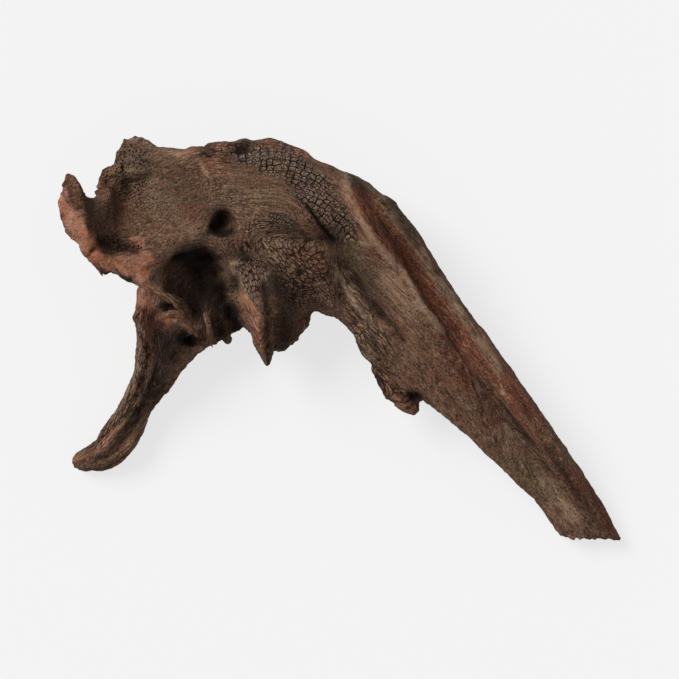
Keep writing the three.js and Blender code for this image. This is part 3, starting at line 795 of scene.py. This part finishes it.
# Painted highlight on the raised crests.
colour = mix(colour, tone("b89c84"), ramp(attribute("relief"), 0.5, 1.4, 0.0, 0.3))
# Painted shade on steep sides that turn away from the light.
colour = mix(colour, tone("1b110c"), times(attribute("steep_shade"), 0.35))
# Dark rot, dark stains and painted shade from the dark strokes.
colour = mix(colour, tone("0e0908"), times(attribute("dark_and_shade"), ramp(mottle, 0.3, 0.6, 1.0, 0.92)))
tree.links.new(colour, shader.inputs["Base Color"])
tree.links.new(ramp(streaks, 0.3, 0.7, 0.75, 0.92), shader.inputs["Roughness"])
shader.inputs["Specular IOR Level"].default_value = 0.12

bump = maths("ADD", times(streaks, 0.6), times(fine_streaks, 0.45))
bump = maths("ADD", bump, times(mottle, 0.5))
bump = maths("ADD", bump, times(specks, 0.25))
bump = times(bump, rough_share)
bump = maths("SUBTRACT", bump, times(creases, 0.5))
bump = maths("SUBTRACT", bump, times(checks, 0.9))
bump = maths("SUBTRACT", bump, times(maths("MAXIMUM", holes, pores), 0.8))
dented = add("ShaderNodeBump", {"Height": bump, "Strength": 1.0, "Distance": 0.0016})
tree.links.new(dented.outputs["Normal"], shader.inputs["Normal"])
skin.materials.append(look)


# Rootlets and torn stubs
# A few dead rootlets cross the hollow, and short stubs stand where others tore off the edges. They are the
# same wood, and each grows out of the skin.

# Each is a line through spots of the picture, its thickness at both ends in millimetres, and how fresh it is.
ROOTLETS = [
    ([(156, 320), (166, 315), (176, 314), (186, 322), (197, 336)], 3.4, 7.4, 0.3),
    ([(146, 284), (158, 291), (168, 297), (178, 306)], 1.6, 2.6, 0.3),
    ([(170, 300), (180, 310), (187, 322)], 2.6, 3.8, 0.2),
    ([(152, 291), (164, 299), (177, 306)], 1.2, 1.8, 0.15),
    ([(206, 314), (209, 326), (212, 343)], 5.6, 4.4, 0.1),
    ([(212, 336), (211, 343), (213, 348)], 2.0, 1.0, 0.0),
    ([(94, 262), (99, 269), (103, 277)], 4.0, 1.4, 0.15),
    ([(112, 266), (118, 273), (122, 279)], 2.6, 1.0, 0.3),
    ([(140, 309), (136, 315), (132, 317)], 3.0, 1.6, 0.15),
    ([(260, 344), (264, 356), (266, 366)], 4.0, 2.4, 0.1),
]

# Sides of a rootlet, and how much grain, in millimetres, one ring of it takes and lies between two rootlets.
SIDES = 8
GRAIN_STEP = 1.2
GRAIN_APART = 31

upper = np.flatnonzero(facing_up > 0.5)
over = seen(places)
top_tree = KDTree(len(upper))
for i in upper:
    top_tree.insert((*over[i], 0), i)
top_tree.balance()


def top_at(px, py):
    """The highest point of the skin that the picture shows at a spot."""
    near = top_tree.find_range((px, py, 0), 1.6) or [top_tree.find((px, py, 0))]
    return max(places[i, 2] for _, i, _ in near)


def laid(corners, first, last, number):
    """A rootlet's middle line, laid on the skin and bedded in it at its start, and its radius on the way."""
    path = smooth(corners)[::4]
    share = np.linspace(0, 1, len(path))
    level = np.polyval(np.polyfit(share, [top_at(*step) for step in path], 2), share)
    radius = 0.5 * (first + (last - first) * share) * np.sqrt(1 - 0.95 * soft(share, 0.8, 1.0))
    radius *= 1 + 0.4 * swells(np.column_stack([path, share]), 3.5, number)
    level = np.maximum(level + (1.6 * soft(share, 0, 0.3) - 1.3) * radius, radius)
    apart = (REACH - level) / DEPTH_SCALE
    centres = np.column_stack([(path[:, 0] - MIDDLE) * apart, (MIDDLE - path[:, 1]) * apart, level])
    centres[:, :2] += UNDER_CAMERA
    return centres, radius


def square_to(centres):
    """Two directions square to a line of points and to each other, at every point."""
    ahead = np.gradient(centres, axis=0)
    ahead /= np.linalg.norm(ahead, axis=1)[:, None]
    across = np.cross(ahead, (0, 0, 1))
    across /= np.linalg.norm(across, axis=1)[:, None]
    return across, np.cross(across, ahead)


points, faces, tube_grain, tube_fresh = [], [], [], []
turns = np.arange(SIDES) * 2 * np.pi / SIDES
for number, (corners, first, last, freshness) in enumerate(ROOTLETS):
    centres, radius = laid(corners, first, last, number)
    across, upward = square_to(centres)
    begin = len(points)
    for step in range(len(centres)):
        run = step * GRAIN_STEP + GRAIN_APART * number
        for turn in turns:
            rim = radius[step] * (np.cos(turn) * across[step] + np.sin(turn) * upward[step])
            points.append((centres[step] + rim) / 1000)
            tube_grain.append((run, radius[step] * np.cos(turn), radius[step] * np.sin(turn)))
            tube_fresh.append(freshness)
    for step in range(len(centres) - 1):
        for side in range(SIDES):
            row, after = begin + step * SIDES, (side + 1) % SIDES
            faces.append((row + side, row + after, row + SIDES + after, row + SIDES + side))
    faces.append(tuple(range(begin + SIDES - 1, begin - 1, -1)))
    faces.append(tuple(range(len(points) - SIDES, len(points))))

rootlet_mesh = bpy.data.meshes.new("rootlets")
rootlet_mesh.from_pydata(points, [], faces)
carry(rootlet_mesh, "fresh", np.array(tube_fresh))
carry(rootlet_mesh, "grain", np.array(tube_grain))
rootlet_mesh.polygons.foreach_set("use_smooth", np.ones(len(faces), bool))
rootlet_mesh.materials.append(look)
rootlets = bpy.data.objects.new("rootlets", rootlet_mesh)
scene.collection.objects.link(rootlets)
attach(rootlets, "root")


# Stage
# A plain pale floor, six metres wide, that glows a little so that the shadows on it stay soft. It lies under
# even light and one large soft light from the picture's top left.

floor_mesh = bpy.data.meshes.new("floor")
floor_mesh.from_pydata([(-3, -3, 0), (3, -3, 0), (3, 3, 0), (-3, 3, 0)], [], [(0, 1, 2, 3)])
floor = bpy.data.objects.new("floor", floor_mesh)
scene.collection.objects.link(floor)
paint = bpy.data.materials.new("pale_floor")
paint.use_nodes = True
painted = paint.node_tree.nodes["Principled BSDF"].inputs
painted["Base Color"].default_value = (0.2, 0.2, 0.2, 1)
painted["Roughness"].default_value = 0.9
painted["Specular IOR Level"].default_value = 0.0
painted["Emission Color"].default_value = (1, 1, 1, 1)
painted["Emission Strength"].default_value = 0.722
floor_mesh.materials.append(paint)

world = bpy.data.worlds.new("even light")
scene.world = world
world.use_nodes = True
lit = world.node_tree.nodes["Background"].inputs
lit["Color"].default_value = (1, 1, 1, 1)
lit["Strength"].default_value = 0.33

key = bpy.data.objects.new("key light", bpy.data.lights.new("key light", "SUN"))
scene.collection.objects.link(key)
key.data.energy = 2.5
key.data.angle = 0.5
key.rotation_euler = Vector((1.0, -0.75, -1.25)).to_track_quat("-Z", "Y").to_euler()

scene.view_settings.view_transform = "Standard"
